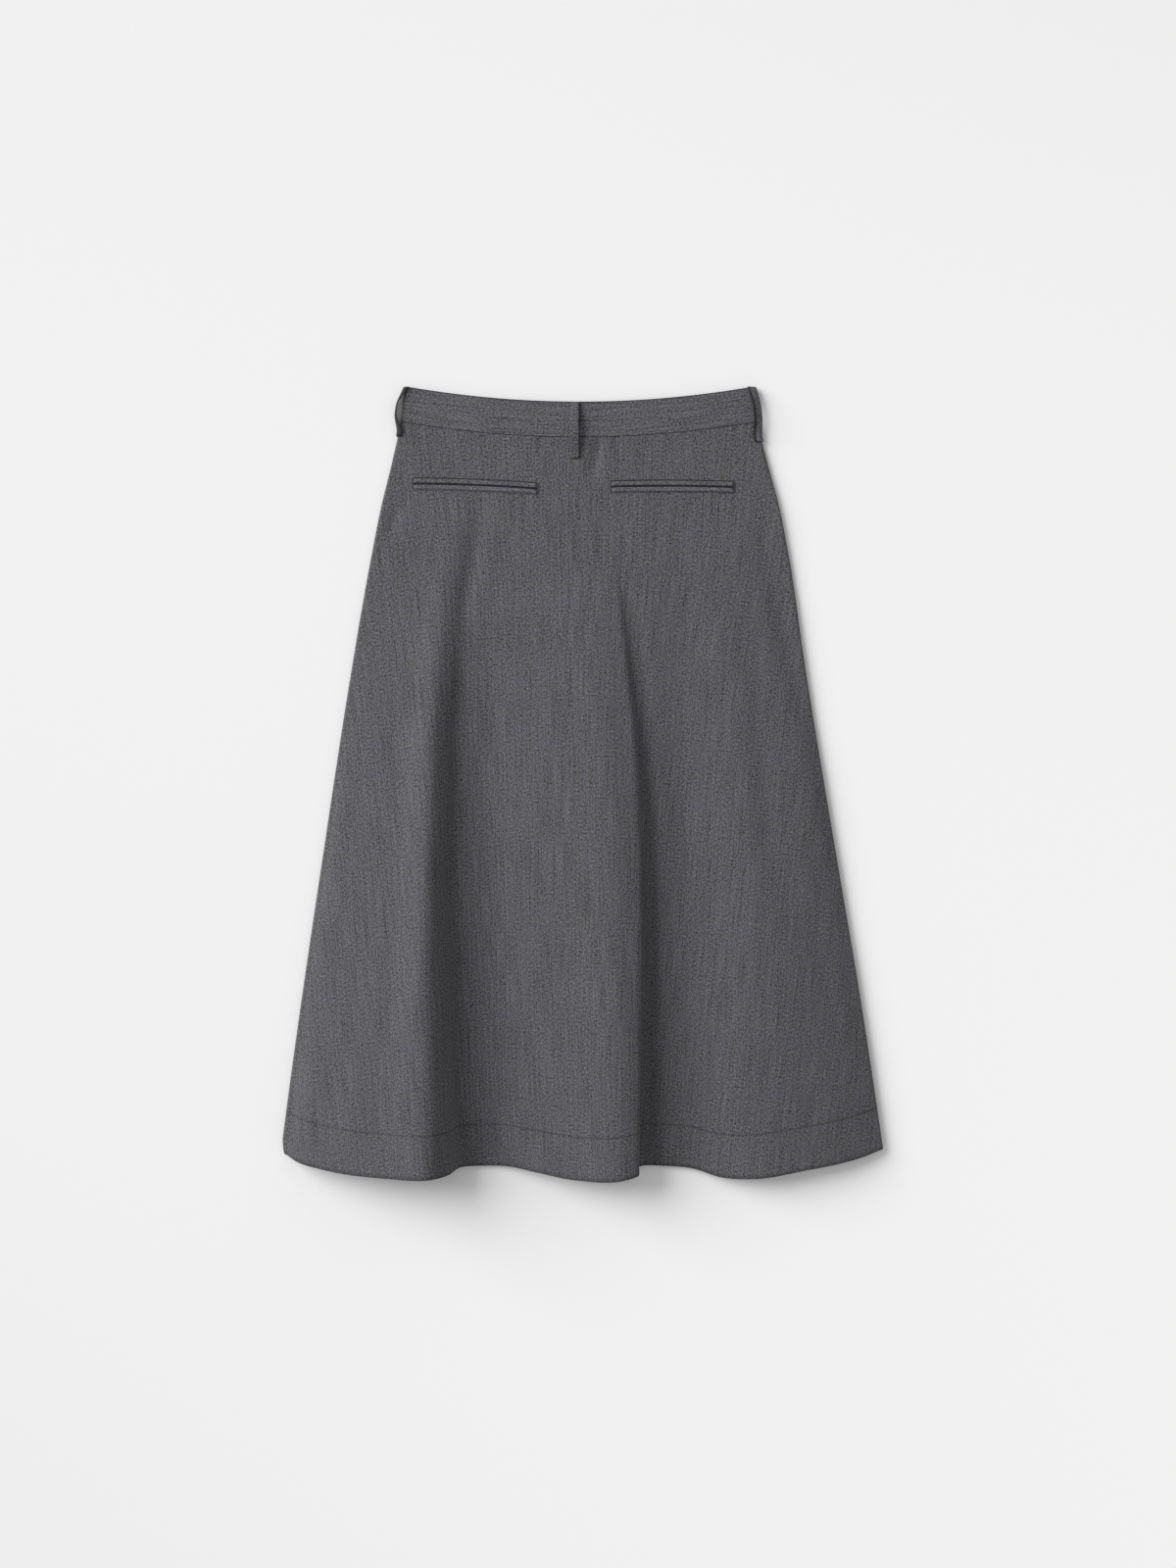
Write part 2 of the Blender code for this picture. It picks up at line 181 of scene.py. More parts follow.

# %% [markdown]
# ## The suiting
#
# The cloth is a melange suiting. Its warp yarns are spun from light and dark wool, so each one
# changes shade every few centimetres: from a step away that gives fine streaks along the warp. The
# weft breaks them up, and a few light flecks lie on top.
#
# A picture of cloth would be the easy way, but it would repeat and blur. Instead each piece of cloth
# carries a point attribute named `cut`: where that point lay on the flat cloth, in millimetres, X
# across the warp and Y along it. The streaks then follow the cut, so that they lean inwards at
# the sides of a flared panel, as they do on a real one. A second point attribute is painted shade: it
# darkens the cloth along seams, stitches, turned edges, in the pockets and on the loops, where their
# shade would fall. Below zero it is a painted highlight, on the welts' crowns and a loop's lit face.
#
# The colour is a sum of soft noises. A table gives the size of each one's patches in millimetres,
# a shift that sets it apart from the others, and how much it shades and roughens the cloth.

# %% The suiting finish
def table(columns, *rows):
    """Rows of values, each under its column's name."""
    return [dict(zip(columns.split(), row)) for row in rows]


YARN = 0.55
WEAVE = table(
    "name across along shift detail shade relief",
    ("warp", 1.21, 45.0, 0, 0, 0.60, 1.0),
    ("slubs", 2.475, 90.0, 7, 0, 0.30, 0.5),
    ("weft", 2.2, 1.1, 13, 0, 0.50, 0.0),
    ("fibres", 1.485, 2.09, 29, 1, 2.30, 1.2),
    ("clouds", 22.0, 30.0, 3, 1, 0.08, 0.0),
)
FLECKS, TINTS = table(
    "across along shift detail from to",
    (1.1, 3.3, 41, 0, 0.19, 0.27),
    (3.3, 4.95, 53, 0, -0.16, 0.16),
)
FLECK_SHADE = 0.24
LEVELS = {"suiting": 0.083, "suiting_across": 0.087}
WARM = (1.02, 1.0, 1.02)
COOL = (0.98, 0.98, 1.13)
# How much the painted shade darkens the cloth where its attribute is one.
PAINTED_SHADE_DEPTH = 0.45
YARN_RELIEF = 0.5
RELIEF_HEIGHT = 0.00012


def suiting(name, level):
    made = Finish(name, roughness=0.92, sheen_weight=0.12, sheen_roughness=0.4)
    made.set("Specular IOR Level", 0.25)
    cut = made.attribute("cut", "Vector")
    across, along = (made.node("ShaderNodeSeparateXYZ", None, {0: cut}, out=axis) for axis in (0, 1))

    def blotches(row):
        """Soft noise about zero, in patches of the row's size in mm."""
        sockets = {0: across / row["across"] + row["shift"], 1: along / row["along"] - row["shift"]}
        return made.noise(made.node("ShaderNodeCombineXYZ", None, sockets), row["detail"]) - 0.5

    def spots(row):
        return made.ramp(blotches(row), row["from"], row["to"])

    layers = [(row, blotches(row)) for row in WEAVE]
    shade = 1.0 + sum(layer * row["shade"] for row, layer in layers) + spots(FLECKS) * FLECK_SHADE
    # Painted shade: the point attribute darkens the cloth where seams, edges, pockets and loops would be in
    # shade, and below zero it is a painted highlight.
    shade = shade * (1.0 - made.attribute("painted_shade", "Fac") * PAINTED_SHADE_DEPTH)
    yarns = made.mix(spots(TINTS), grey(level, WARM), grey(level, COOL))
    light = made.node("ShaderNodeCombineColor", None, {0: shade, 1: shade, 2: shade})
    made.set("Base Color", made.mix(1.0, yarns, light, blend="MULTIPLY"))

    turn = 2 * math.pi / YARN
    rows, picks = (way.math("SINE", way * turn) for way in (across, along))
    uneven = sum(layer * row["relief"] for row, layer in layers if row["relief"])
    made.relief(rows * picks * YARN_RELIEF + uneven, RELIEF_HEIGHT)
    return made.material


SUITINGS = {name: suiting(name, level) for name, level in LEVELS.items()}
print("layers of the suiting:", [row["name"] for row in WEAVE])

# %% [markdown]
# ## The small finishes
#
# Thread is a twisted yarn with a slight gloss. A zip's tape is a tight polyester weave, and the
# waist hook and bar are pressed from plated steel. These need only a pattern in their own space.

# %% Thread, tape and steel
THREAD_RELIEF = 0.0001
# How fine the patterns are: their scale in one metre.
TWIST = 2500.0
RIB = 900.0
BRUSHING = 3000.0


def in_own_space(made):
    return made.node("ShaderNodeTexCoord", None, None, out="Object")


def thread_finish():
    made = Finish("thread", roughness=0.6)
    twist = made.noise(in_own_space(made), 1.0, TWIST)
    made.set("Base Color", made.mix(twist, grey(0.030), grey(0.075)))
    made.relief(twist, THREAD_RELIEF)
    return made.material


def tape_finish():
    made = Finish("zip_tape", roughness=0.8)
    sockets = {"Vector": in_own_space(made), "Scale": RIB, "Distortion": 0.0}
    rib = made.node("ShaderNodeTexWave", {"bands_direction": "DIAGONAL"}, sockets, out="Fac")
    made.set("Base Color", made.mix(rib, grey(0.045), grey(0.075, (0.98, 0.98, 1.06))))
    made.relief(rib, THREAD_RELIEF)
    return made.material


def steel_finish():
    made = Finish("steel", metallic=1.0)
    brush = made.noise(in_own_space(made), 2.0, BRUSHING)
    made.set("Base Color", made.mix(brush, grey(0.48), grey(0.60, (1.0, 1.0, 1.02))))
    made.set("Roughness", brush * 0.2 + 0.25)
    return made.material


THREAD = thread_finish()
ZIP_TAPE = tape_finish()
STEEL = steel_finish()
print("finishes:", [finish.name for finish in (THREAD, ZIP_TAPE, STEEL)])

# %% [markdown]
# ## The studio
#
# A pale floor, a round softbox at the upper left and an even pale sky give the picture its thin
# shadow below and to the right of the skirt. The wider the softbox, the softer the shadow's edge.
# The standard view keeps greys as they are, where the film-like views would dull the white floor.

# %% Floor and light
FLOOR_SIZE = 60.0
FLOOR_GREY = 0.78
# The paper gets this much darker as its nearness to the light goes from none to FLOOR_TONED.
FLOOR_TONE = 0.23166
FLOOR_TONED = 1.0
SKY = 0.522
SOFTBOX = 300.0
SOFTBOX_AWAY = 4.6
SOFTBOX_SIZE = 3.6
SOFTBOX_SENDS = (0.78, -0.42, -0.50)


def floor_finish():
    """Pale paper, toned so that it looks even although the light falls off across it."""
    made = Finish("floor", roughness=0.9)
    place = made.node("ShaderNodeTexCoord", None, None, out="Object")
    towards = (-SOFTBOX_SENDS[0], -SOFTBOX_SENDS[1], 0.0)
    sockets = {0: place, 1: towards}
    nearness = made.node("ShaderNodeVectorMath", {"operation": "DOT_PRODUCT"}, sockets, out="Value")
    ends = (FLOOR_GREY + FLOOR_TONE, FLOOR_GREY - FLOOR_TONE)
    level = made.ramp(nearness, -FLOOR_TONED, FLOOR_TONED, *ends)
    made.set("Base Color", made.node("ShaderNodeCombineColor", None, {0: level, 1: level, 2: level}))
    made.set("Specular IOR Level", 0.0)
    return made.material


def new_piece(name, points, faces, finish):
    """A mesh with one finish all over."""
    mesh = bpy.data.meshes.new(name)
    mesh.from_pydata([tuple(point) for point in points], [], [tuple(face) for face in faces])
    mesh.materials.append(finish)
    mesh.shade_smooth()
    return put(name, mesh)


def lay_floor():
    half = FLOOR_SIZE / 2
    corners = [(-half, -half, 0), (half, -half, 0), (half, half, 0), (-half, half, 0)]
    new_piece("floor", corners, [(0, 1, 2, 3)], floor_finish())


def light_studio():
    softbox = put("softbox", bpy.data.lights.new("softbox", "AREA"))
    sends = Vector(SOFTBOX_SENDS).normalized()
    softbox.data.shape = "DISK"
    softbox.data.size = SOFTBOX_SIZE
    softbox.data.energy = SOFTBOX
    softbox.location = -sends * SOFTBOX_AWAY
    softbox.rotation_euler = sends.to_track_quat("-Z", "Y").to_euler()
    sky = bpy.data.worlds.new("sky")
    sky.use_nodes = True
    background = sky.node_tree.nodes["Background"]
    background.inputs["Color"].default_value = (1, 1, 1, 1)
    background.inputs["Strength"].default_value = SKY
    bpy.context.scene.world = sky
    bpy.context.scene.view_settings.view_transform = "Standard"


lay_floor()
light_studio()
print("sky", SKY, "and a softbox", SOFTBOX_AWAY, "m away")

# %% [markdown]
# ## The skirt's driving sizes
#
# The cloth is worked out from the same sizes as the solids under it, only on a finer net. Each
# table has a row for a height of the skirt or for a fold, and its other heights are read off a
# soft curve through those rows. Lengths in tables are in millimetres.

# %% Sizes and tables
MM = 0.001

CLOTH = 0.9 * MM
HEM_WALL = 1.7 * MM
BAND_WALL = 1.9 * MM
BAND_RADIUS = 2.9 * MM
SEAM_GAP = 0.3 * MM
UNDERLAP = 3.0 * MM

SIDE_TOP_Y = 399.5 * MM
BAND_HEIGHT = 36.0 * MM
PANEL_SIDE_LENGTH = 740.0 * MM
HEM_DEPTH = 42.0 * MM
DIP_POWER = 3

OUTLINE = table(
    "below left right",
    (-36, -180.0, 175.5),
    (0, -185.0, 179.0),
    (40, -193.5, 188.5),
    (85, -204.5, 200.5),
    (130, -213.5, 209.5),
    (250, -234.5, 227.3),
    (435, -263.0, 257.8),
    (600, -287.5, 285.5),
    (715, -303.2, 302.8),
    (728, -304.8, 304.7),
    (740, -303.6, 306.5),
)

ARCS = table(
    "below back front power side_radius",
    (0, 15.5, 27.5, 2.0, 2.5),
    (300, 15.8, 19.0, 2.8, 3.4),
    (740, 16.7, 14.7, 4.0, 4.5),
)

FOLD_MIDDLE = 0.45
FOLD_START = 0.10
FOLDS = table(
    "name waist mid hem mid_z hem_z dip",
    ("left side", -175, -239, -290, 2, 8, 7.2),
    ("left shoulder", -164, -219, -260, 6, 18, 9.2),
    ("left crest", -149, -181, -203, 12, 32, 8.6),
    ("left brow", -122, -150, -149, 20, 42, 5.9),
    ("left flank", -114, -139, -135, 12, 27, 4.8),
    ("left foot", -106, -129, -121, 1, 3, 0.6),
    ("left hollow", -96, -112, -104, -1, -3, 0.7),
    ("centre foot", -82, -92, -80, -1, -2, 0.4),
    ("centre shoulder", -62, -66, -48, 4, 7, 4.6),
    ("centre crest", -34, -22, -8, 10, 19, 10.2),
    ("centre brow", 6, 42, 45, 15, 30, 7.8),
    ("fold edge", 16, 56, 57, 11, 24, 4.8),
    ("fold under", 22, 58, 53, 4, 9, 2.2),
    ("fold foot", 30, 64, 61, 0, -2, 0.4),
    ("right hollow", 44, 79, 83, 0, -3, 0.6),
    ("right foot", 61, 97, 112, -1, -3, 3.4),
    ("right shoulder", 81, 121, 140, 1, 3, 11.4),
    ("right crest", 106, 151, 172, 6, 12, 12.4),
    ("right slope", 136, 196, 231, 6, 12, 6.4),
    ("right side", 161, 231, 286, 2, 5, 2.3),
)
SIDE_DIPS = {"left": 5.0, "right": 0.0}
INWARD = {"left": 1, "right": -1}

FRONT_FOLD_START = 0.25
FRONT_FOLD_AT_WAIST = 0.6
FRONT_FOLDS = table(
    "middle width height",
    (-222, 74, 15),
    (178, 70, 7),
    (240, 60, 3),
)
print(len(FOLDS), "fold lines on the back,", len(FRONT_FOLDS), "folds under it")

# %% [markdown]
# ## Soft curves
#
# Cloth has no corners, so a value between two rows of a table lies on a soft curve through all of
# them. Blender's own curves could do this, but a function on arrays reads every height at once.

# %% Soft curves
def smooth_step(low, high, value):
    """0 below low, 1 above high, and a soft ramp between."""
    share = np.clip((value - low) / (high - low), 0.0, 1.0)
    return share * share * (3 - 2 * share)


def smooth_curve(places, values, at):
    """A soft curve through values at rising places, read at many places."""
    places, values = np.asarray(places, float), np.asarray(values, float)
    spans = np.diff(places)
    shape = (-1, *[1] * (values.ndim - 1))
    slopes = np.diff(values, axis=0) / spans.reshape(shape)
    before, after = spans[:-1].reshape(shape), spans[1:].reshape(shape)
    inner = (slopes[:-1] * after + slopes[1:] * before) / (before + after)
    tangents = np.concatenate([slopes[:1], inner, slopes[-1:]])
    at = np.atleast_1d(np.asarray(at, float))
    piece = np.clip(np.searchsorted(places, at, side="right") - 1, 0, len(spans) - 1)
    span = spans[piece].reshape(shape)
    share = ((at - places[piece]) / spans[piece]).reshape(shape)
    first, last = share**3 * 2 - share**2 * 3 + 1, share**2 * 3 - share**3 * 2
    leave, arrive = share**3 - share**2 * 2 + share, share**3 - share**2
    ends = first * values[piece] + last * values[piece + 1]
    return ends + span * (leave * tangents[piece] + arrive * tangents[piece + 1])


def read_table(table, column, below):
    """A column of a table at distances below the waist seam."""
    places = [row["below"] * MM for row in table]
    values = [row[column] for row in table]
    return smooth_curve(places, values, np.maximum(below, places[0]))


def side_edge(side, below):
    return read_table(OUTLINE, side, below) * MM


def side_radius(below):
    return read_table(ARCS, "side_radius", below) * MM


def arc_y(x, below, face):
    """The Y of a line across the skirt that leaves both side edges this far below the seam."""
    left, right = side_edge("left", below), side_edge("right", below)
    across = np.minimum(1.0, np.abs(2 * x - left - right) / (right - left))
    lower = read_table(ARCS, face, below) * MM * (1 - across ** read_table(ARCS, "power", below))
    return SIDE_TOP_Y - BAND_HEIGHT - below - lower


def rows_y(x, below, face):
    """The same for whole rows, each at its own distance below the seam."""
    return np.stack([arc_y(x[r], below[r : r + 1], face) for r in range(len(below))])


def round_y(x, z, below, radius):
    """The Y of rows round the skirt: the back's where they lie above this radius, else the front's."""
    return np.where(z > radius, rows_y(x, below, "back"), rows_y(x, below, "front"))


def bell(distance, reach):
    """1 at no distance, and next to nothing past twice the reach."""
    return np.exp(-((distance / reach) ** 2))


print("side edges at the hem, m:", [round(side_edge(side, PANEL_SIDE_LENGTH)[0], 4) for side in INWARD])

# %% [markdown]
# ## A shell of cloth
#
# Every cloth piece is a net of points on its outer face. `shell` gives it a wall towards the inside,
# rounds the edges that we ask for, and stores where each point lay on the flat cloth and its painted
# shade. Blender's Solidify modifier does the first of these, but not the others. Edges get painted
# shade where the shade of a seam, a groove or a turned edge would fall, and one table says how dark
# and how far in.

# %% The shell builder
EDGE_STEPS = np.array([0.0, 0.12, 0.35, 0.7, 1.1]) * MM
EDGE_LEAST = 0.02
PAINTED_EDGE_SHADE = {
    # Painted shade along each kind of edge: how dark, and how far in, in mm.
    "panel stitch": (0.9, 0.8),
    "panel seam": (0.3, 0.6),
    "panel hem": (1.4, 1.5),
    "band top": (1.6, 1.3),
    "band seam": (0.3, 0.5),
    "welt seam": (0.5, 0.6),
    "welt mouth": (0.9, 0.5),
    "loop end": (0.8, 0.8),
}


def outward(net):
    """Unit normals of a net whose rows run down and whose columns run from left to right."""
    down, right = np.gradient(net, axis=0), np.gradient(net, axis=1)
    normal = np.cross(down, right)
    return normal / np.maximum(np.linalg.norm(normal, axis=-1, keepdims=True), 1e-12)


def roundness(distance, half_wall):
    """How thick a wall is near its rounded edge, as a share of the whole."""
    share = np.clip(distance / half_wall, 0.0, 1.0)
    return np.sqrt(np.clip(1 - (1 - share) ** 2, EDGE_LEAST, 1.0))


def numbers(net):
    """The number of each point of a net, row by row."""
    rows, columns = net.shape[:2]
    return np.arange(rows * columns).reshape(rows, columns)


def net_faces(grid):
    """The quads of a net of numbered points, wound so that they face out."""
    corners = (grid[:-1, :-1], grid[1:, :-1], grid[1:, 1:], grid[:-1, 1:])
    return np.stack(corners, axis=-1).reshape(-1, 4)


def store(piece, name, kind, key, values):
    attribute = piece.data.attributes.new(name, kind, "POINT")
    attribute.data.foreach_set(key, np.asarray(values, np.float32).ravel())


def shell(name, outer, wall, cut, slot, rounded=1.0, painted_shade=0.0):
    """A closed sheet of suiting under a net of outer points. wall, rounded and the painted shade may vary
    over the net, and cut holds the flat cloth's two coordinates in mm."""
    grid = numbers(outer)
    normal = outward(outer)
    wall = np.broadcast_to(wall, grid.shape)[..., None]
    thin = wall / 2 * (1 - np.broadcast_to(rounded, grid.shape)[..., None])
    faces_at = (outer - normal * thin, outer - normal * (wall - thin))
    points = np.concatenate([face.reshape(-1, 3) for face in faces_at])
    top = net_faces(grid)
    # From the first row's right end: to the left, down, to the right and back up.
    rim = np.concatenate([grid[0, ::-1], grid[1:, 0], grid[-1, 1:], grid[-2::-1, -1]])
    sides = np.stack([rim[:-1], rim[:-1] + grid.size, rim[1:] + grid.size, rim[1:]], axis=1)
    faces = np.concatenate([top, top[:, ::-1] + grid.size, sides])
    piece = new_piece(name, points, faces, SUITINGS[slot])
    flat = np.concatenate([cut, np.zeros((*grid.shape, 1))], axis=-1).reshape(-1, 3)
    store(piece, "cut", "FLOAT_VECTOR", "vector", np.concatenate([flat, flat]))
    # The painted shade lies on the outer face only.
    outside = np.broadcast_to(painted_shade, grid.shape).ravel()
    store(piece, "painted_shade", "FLOAT", "value", np.concatenate([outside, outside * 0]))
    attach(piece, "root")
    return piece


def painted_dark(place, distance):
    """How much painted shade the cloth gets this far from one of the edges in the table."""
    dark, reach = PAINTED_EDGE_SHADE[place]
    return dark * bell(distance, reach * MM)


print("shell edges have", len(EDGE_STEPS), "rows, and", len(PAINTED_EDGE_SHADE), "kinds of edge are pressed")

# %% [markdown]
# ## How the panels were cut
#
# Half of a flared skirt is a piece of a ring: its waist is the short arc and its hem the long one,
# with the straight grain down the middle. So a point's place on the flat cloth follows from its
# distance below the waist and its share of the way across.

# %% The flat cut
CUT_RADIUS = 497.0 * MM
CUT_HALF_ANGLE = math.radians(20.0)
BOLT_STEP = (0.9, 1.3)


def run_along(line):
    """How far along a line each of its points lies."""
    return np.concatenate([[0.0], np.cumsum(np.linalg.norm(np.diff(line, axis=0), axis=1))])


def shares_across(net):
    """Each point's share of the way across its row, measured along the cloth."""
    run = np.stack([run_along(row) for row in net])
    return run / run[:, -1:]


def flat_cut(shares, below, from_angle, to_angle, bolt):
    """Where points lay on the flat cloth, in mm. bolt sets each panel apart on the cloth."""
    angle = from_angle + (to_angle - from_angle) * shares
    radius = CUT_RADIUS + below[:, None]
    ring = np.stack([radius * np.sin(angle), -radius * np.cos(angle)], axis=-1)
    return (ring + bolt * np.array(BOLT_STEP)) / MM


# %% [markdown]
# ## The back's form
#
# Each row of the net crosses the back at one height: round the left side, over the fold lines and
# round the right side. The rows lie closer together at the seams and at the hem's stitch line, where
# small forms need them.

# %% Rows and sections of the back
SIDE_STEPS = 10
LINE_STEPS = 8
STITCH_BELOW = PANEL_SIDE_LENGTH - HEM_DEPTH
# Where rows lie, in mm: the first, a limit and the step. The last two start from the stitch line.
SEAM_ROWS = (1.6, 30.0, 2.4)
BODY_ROWS = (33.0, STITCH_BELOW / MM - 7.0, 5.4)
STITCH_ROWS = (-6.0, 6.1, 0.75)
HEM_ROWS = (9.0, 39.0, 4.0)


def panel_rows():
    """Distances below the waist seam."""
    near_seam, body, at_stitch, in_hem = (
        np.arange(*rows) * MM for rows in (SEAM_ROWS, BODY_ROWS, STITCH_ROWS, HEM_ROWS))
    edge = PANEL_SIDE_LENGTH - EDGE_STEPS[::-1]
    return np.concatenate([
        EDGE_STEPS, near_seam, body, STITCH_BELOW + at_stitch, STITCH_BELOW + in_hem, edge])


def turned_side(side, below, radius, steps):
    """Points (x, z) of a half circle from under the skirt round its side edge to its top."""
    radius = radius[:, None]
    angle = np.pi * (np.arange(steps + 1) / steps - 0.5)
    x = side_edge(side, below)[:, None] + INWARD[side] * radius * (1 - np.cos(angle))
    return np.stack([x, radius * (1 + np.sin(angle))], axis=-1)


def fold_lines(below):
    """Points (x, z) and dips of every fold line at these distances below the waist seam."""
    down = below / PANEL_SIDE_LENGTH
    lines = []
    for fold in FOLDS:
        places = [fold["waist"], fold["mid"], fold["hem"]]
        x = smooth_curve([0.0, FOLD_MIDDLE, 1.0], places, down)
        rises = [0.0, 0.0, fold["mid_z"], fold["hem_z"]]
        rise = smooth_curve([0.0, FOLD_START, FOLD_MIDDLE, 1.0], rises, down)
        dip = fold["dip"] * down**DIP_POWER
        lines.append(np.stack([x * MM, 2 * side_radius(below) + rise * MM, dip * MM], axis=-1))
    return np.stack(lines, axis=1)


def dipped_side(side, below, radius):
    """A turned side with a dip for each point: none underneath, and the whole on top."""
    turned = turned_side(side, below, radius, SIDE_STEPS)
    deepest = SIDE_DIPS[side] * MM * (below / PANEL_SIDE_LENGTH) ** DIP_POWER
    dip = deepest[:, None] * turned[..., 1] / (2 * radius[:, None])
    return np.concatenate([turned, dip[..., None]], axis=-1)


def back_sections(below):
    """Rows of points (x, z) and dips across the back, from its left underside to its right one."""
    radius = side_radius(below)
    left, right = (dipped_side(side, below, radius) for side in ("left", "right"))
    right = right[:, ::-1]
    knots = np.concatenate([left[:, -1:], fold_lines(below), right[:, :1]], axis=1)
    count = knots.shape[1] - 1
    shares = np.arange(1, count * LINE_STEPS) / LINE_STEPS
    rows = []
    for line in knots:
        run = run_along(line)
        rows.append(smooth_curve(run, line, np.interp(shares, np.arange(count + 1), run)))
    under = np.zeros((len(below), 1, 3))
    under_left, under_right = under + left[:, :1], under + right[:, -1:]
    under_left[..., 0] += UNDERLAP
    under_right[..., 0] -= UNDERLAP
    return np.concatenate([under_left, left, np.stack(rows), right, under_right], axis=1)


BACK_ROWS = panel_rows()
print("the back has", len(BACK_ROWS), "rows")

# %% [markdown]
# ## Creases
#
# The large folds come from the tables above. On top of them real cloth has soft creases: shallow
# troughs below the waistband, where the panel is eased into it, faint long hollows between the
# folds, and small pulls at the pockets' ends. A sculptor's brush would do, but a short table keeps
# each crease in sight: its two ends, its width, and how deep it is, or how high where that is
# below zero. Each one moves the net along its normal and fades out at both ends.

# %% Creases of the back
CREASES = table(
    "from to width depth bow",
    ((19, 350), (9, 298), 6, 2.7, 1),
    ((-189, 277), (-200, 240), 7, 1.8, -2),
    ((-101, 283), (-127, 150), 10, 2.4, -3),
    ((-39, 356), (-43, 326), 5, 1.1, 0),
    ((32, 357), (35, 330), 4, 1.2, 0),
    ((184, 258), (190, 225), 6, 1.1, 1),
    ((174, 185), (200, -130), 10, 1.8, 6),
    ((196, 205), (228, 60), 9, 1.5, 3),
    ((238, -125), (266, -315), 9, 1.5, 3),
    ((-186, 72), (-191, -40), 7, 1.1, -2),
    ((-214, -110), (-220, -207), 7, 0.6, 2),
    ((-240, 150), (-262, -10), 10, 0.7, 4),
    ((-70, 150), (-58, -60), 14, 0.8, -5),
    ((-20, 90), (-2, -170), 16, -0.8, 4),
    ((100, 60), (104, -150), 10, 0.6, -3),
    ((-45, 296), (-30, 276), 5, 0.5, 1),
    ((29, 297), (14, 272), 5, 0.5, -1),
    ((-173, 298), (-186, 262), 6, 0.6, 1),
    ((155, 297), (170, 266), 6, 0.5, -1),
)
# Where a crease comes in and fades out, as shares of its length.
CREASE_RISES = (-0.15, 0.35)
CREASE_FALLS = (0.55, 1.15)
EASE_DEPTH = 0.45 * MM
EASE_REACH = 16.0 * MM
EASE_KNOTS = 64
SLACK = 0.22 * MM
SLACK_WAVES = 24
SLACK_TURN = 0.6
SLACK_LONG = (0.035, 0.11)
random = np.random.default_rng(7)


def crease_depth(x, y, crease):
    """How deep one crease is at points of the panel."""
    (x0, y0), (x1, y1) = np.array(crease["from"]) * MM, np.array(crease["to"]) * MM
    long = math.hypot(x1 - x0, y1 - y0)
    along = ((x - x0) * (x1 - x0) + (y - y0) * (y1 - y0)) / long**2
    bend = crease["bow"] * MM * 4 * along * (1 - along)
    aside = ((x - x0) * (y1 - y0) - (y - y0) * (x1 - x0)) / long - bend
    fade = smooth_step(*CREASE_RISES, along) * (1 - smooth_step(*CREASE_FALLS, along))
    return crease["depth"] * MM * fade * bell(aside, crease["width"] * MM)


def uneven_wave(shares, count):
    """A soft wave across a net, through this many random heights from -1 to 1."""
    knots = random.uniform(-1, 1, count)
    return smooth_curve(np.linspace(0, 1, count), knots, shares.ravel()).reshape(shares.shape)


def eased_in(shares, below):
    """Small uneven gathers that a panel has where it is eased into a seam."""
    return EASE_DEPTH * uneven_wave(shares, EASE_KNOTS) * np.exp(-below / EASE_REACH)[:, None]


def slack(x, y):
    """Low, broad unevenness, as cloth has that was not pulled flat."""
    total = np.zeros_like(x)
    for _ in range(SLACK_WAVES):
        turn = random.uniform(-SLACK_TURN, SLACK_TURN)
        long = random.uniform(*SLACK_LONG)
        phase = random.uniform(0, 2 * np.pi)
        total += np.cos((x * math.cos(turn) + y * math.sin(turn)) * 2 * np.pi / long + phase)
    return SLACK * total / math.sqrt(SLACK_WAVES / 2)


print(len(CREASES), "creases on the back")

# %% [markdown]
# ## The back panel
#
# Now the net is pushed into its final form. At the waist it rises a little to meet the band, and
# where the hem was turned up and caught with a blind stitch, a fine groove runs across. The wall is
# double below it.

# %% Make the back
SEAM_RISE = 0.65 * MM
SEAM_RISE_REACH = 7.0 * MM
STITCH_DENT = 0.32 * MM
STITCH_REACH = 0.8 * MM
HEM_STEP = 1.5 * MM
SLACK_START = 0.1
# Creases and the groove come in between these heights, counted in the side's radius.
UPPER_SIDE = (1.0, 1.9)


def panel_wall(below):
    """The wall of a panel: single cloth, and double below the hem's stitches."""
    return CLOTH + (HEM_WALL - CLOTH) * smooth_step(STITCH_BELOW, STITCH_BELOW + HEM_STEP, below)


def panel_edges(below):
    """Rounded at the waist seam and at the hem."""
    half = panel_wall(below) / 2
    return roundness(below, half) * roundness(PANEL_SIDE_LENGTH - below, half)


# A bell round the stitch line: the back's dent there, and the fronts' painted shade along it.
def stitch_dent_and_painted_shade(below):
    return bell(below - STITCH_BELOW, STITCH_REACH)


def back_net(below):
    x, z, dip = np.moveaxis(back_sections(below), -1, 0)
    down = below[:, None] / PANEL_SIDE_LENGTH
    y = round_y(x, z, below, side_radius(below)[:, None]) - dip - SEAM_GAP * (1 - down)
    return np.stack([x, y, z], axis=-1)


